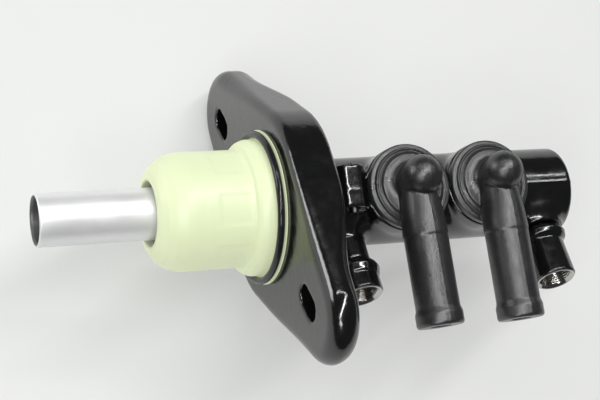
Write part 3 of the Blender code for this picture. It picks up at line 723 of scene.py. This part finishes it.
ELBOW_STEP = 0.42
elbow_points, elbow_faces = surface_of(
    elbow_field, (-17.2, -53.9, 13.9), (17.2, 17.2, 43.0), ELBOW_STEP
)
for at, tag, lean in zip(INLETS_X, ("rear", "front"), (1.5, 1.0)):
    c, s = np.cos(np.radians(lean)), np.sin(np.radians(lean))
    turn = np.array([[c, -s, 0.0], [s, c, 0.0], [0.0, 0.0, 1.0]])
    elbow_piece = piece(
        "inlet_elbow_" + tag, elbow_points @ turn.T + np.array([at, 0.0, 0.0]), elbow_faces.tolist(),
        black_rubber, tag + "_inlet", "elbow_" + tag,
    )


# ---------------------------------------------------------------------------
# Cross pin
# Rolled spring steel pin, dark with oil and slotted along its length, driven
# through the cast lug.
# ---------------------------------------------------------------------------

PIN_R, PIN_HOLLOW_R = 1.85, 1.15
PIN_HALF = (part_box("cross_pin")[1].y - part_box("cross_pin")[0].y) / 2 / MM


def pin_field(x, y, z):
    """Tube between two radii with a wedge of its wall left out, its ends eased."""
    q = np.hypot(x, z)
    wall = np.maximum(q - PIN_R, PIN_HOLLOW_R - q)
    gap = np.abs(np.arctan2(z, x)) * np.maximum(q, 0.3) - 0.35
    return keep(np.maximum(wall, -np.where(x > 0, gap, 9.0)), np.abs(y) - PIN_HALF, 0.3)


dark_steel = shader_of("oiled_spring_steel", (0.06, 0.06, 0.065), 0.3, 1.0)
finish_with(dark_steel, 400.0, 0.2, 0.4, 600.0, 2500.0, 0.3, 0.000006)
PIN_STEP = 0.19
pin_reach = np.array([2.2, PIN_HALF + 0.5, 2.2])
pin_points, pin_faces = surface_of(pin_field, -pin_reach, pin_reach, PIN_STEP)
pin_points = pin_points + np.array(PIN_AT)
pin_piece = piece("cross_pin_rolled", pin_points, pin_faces.tolist(), dark_steel, "housing", "cross_pin")


# ---------------------------------------------------------------------------
# Return springs
# Drawn steel wire, closed at both ends, between the pistons and the bore's end.
# ---------------------------------------------------------------------------

WIRE_SIDES, STEPS_A_TURN = 12, 40


def coiled(name, start, end, mean_r, wire_r, coils, material, body, node):
    """Wire swept along a helix: rings of the wire's section, square to the axis, with slower pitch
    over the first and last turn, and a fan at each end."""
    turns = np.linspace(0.0, coils, int(coils * STEPS_A_TURN) + 1)
    dead = 2.3 * wire_r
    low, high = start + wire_r, end - wire_r
    along = np.interp(turns, [0.0, 1.0, coils - 1.0, coils], [low, low + dead, high - dead, high])
    t = 2 * np.pi * turns[:, None]
    a = np.linspace(0.0, 2 * np.pi, WIRE_SIDES, endpoint=False)[None, :]
    r = mean_r + wire_r * np.cos(a)
    grid = np.stack([along[:, None] + wire_r * np.sin(a), r * np.cos(t), r * np.sin(t)], 2)
    middle = np.stack([along, mean_r * np.cos(t[:, 0]), mean_r * np.sin(t[:, 0])], 1)[[0, -1]]
    points = np.concatenate([grid.reshape(-1, 3), middle])
    count = len(turns)
    i = np.arange(count - 1)[:, None] * WIRE_SIDES
    j = np.arange(WIRE_SIDES)[None, :]
    k = (j + 1) % WIRE_SIDES
    quads = np.stack([i + j, i + k, i + WIRE_SIDES + k, i + WIRE_SIDES + j], 2).reshape(-1, 4)
    first, last = count * WIRE_SIDES, (count - 1) * WIRE_SIDES
    fans = [(first, int(m), int(n)) for n, m in zip(j[0], k[0])]
    fans += [(first + 1, last + int(n), last + int(m)) for n, m in zip(j[0], k[0])]
    made = piece(name, points, quads.tolist() + fans, material, body)
    outward(made)
    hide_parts(node)
    return made


drawn_wire = shader_of("drawn_spring_wire", (0.45, 0.45, 0.47), 0.3, 1.0)
finish_with(drawn_wire, 500.0, 0.22, 0.4, 800.0, 3000.0, 0.3, 0.000005)
low, high = [c.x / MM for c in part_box("primary_spring")]
rear_spring = coiled(
    "rear_return_spring", low, high, 8.3, 0.95, 5.5, drawn_wire, "primary", "primary_spring"
)
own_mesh(rear_spring)
low, high = [c.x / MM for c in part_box("secondary_spring")]
front_spring = coiled(
    "front_return_spring", low, high, 7.6, 0.9, 6.5, drawn_wire, "housing", "secondary_spring"
)
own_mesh(front_spring)


# ---------------------------------------------------------------------------
# Inner parts
# Turned pistons, seals, seats and washers that sit inside the bore and the
# ports; each keeps its own solid and gets its finish here.
# ---------------------------------------------------------------------------

INNER = {
    "turned_piston_alloy": ((0.62, 0.63, 0.65), 0.35, 1.0, 0.000006, ["secondary_piston"]),
    "zinc_plated_steel": (
        (0.55, 0.55, 0.50), 0.35, 1.0, 0.000006,
        ["stop_washer", "primary_spring_seat", "secondary_spring_seat"],
    ),
    "blued_ring_steel": ((0.2, 0.21, 0.23), 0.32, 1.0, 0.000006, ["snap_ring"]),
    "seal_rubber_black": ((0.012, 0.012, 0.013), 0.4, 0.0, 0.00002, ["stem_lip_seal"]),
    "cup_rubber_matt": (
        (0.014, 0.014, 0.016), 0.5, 0.0, 0.00002,
        ["primary_cup", "secondary_rear_cup", "secondary_mid_cup", "secondary_front_cup"],
    ),
    "port_grommet_rubber": (
        (0.012, 0.012, 0.013), 0.55, 0.0, 0.00003, ["port_grommet_rear", "port_grommet_front"],
    ),
    "turned_brass": ((0.72, 0.55, 0.28), 0.3, 1.0, 0.000006, ["pipe_seat_rear", "pipe_seat_front"]),
}
for label, (color, rough, metallic, depth, names) in INNER.items():
    made = shader_of(label, color, rough, metallic)
    finish_with(made, 300.0, rough - 0.08, rough + 0.12, 700.0, 2600.0, 0.3, depth)
    for name in names:
        slots = frame["nodes"][name].data.materials
        for number in range(len(slots)):
            slots[number] = made
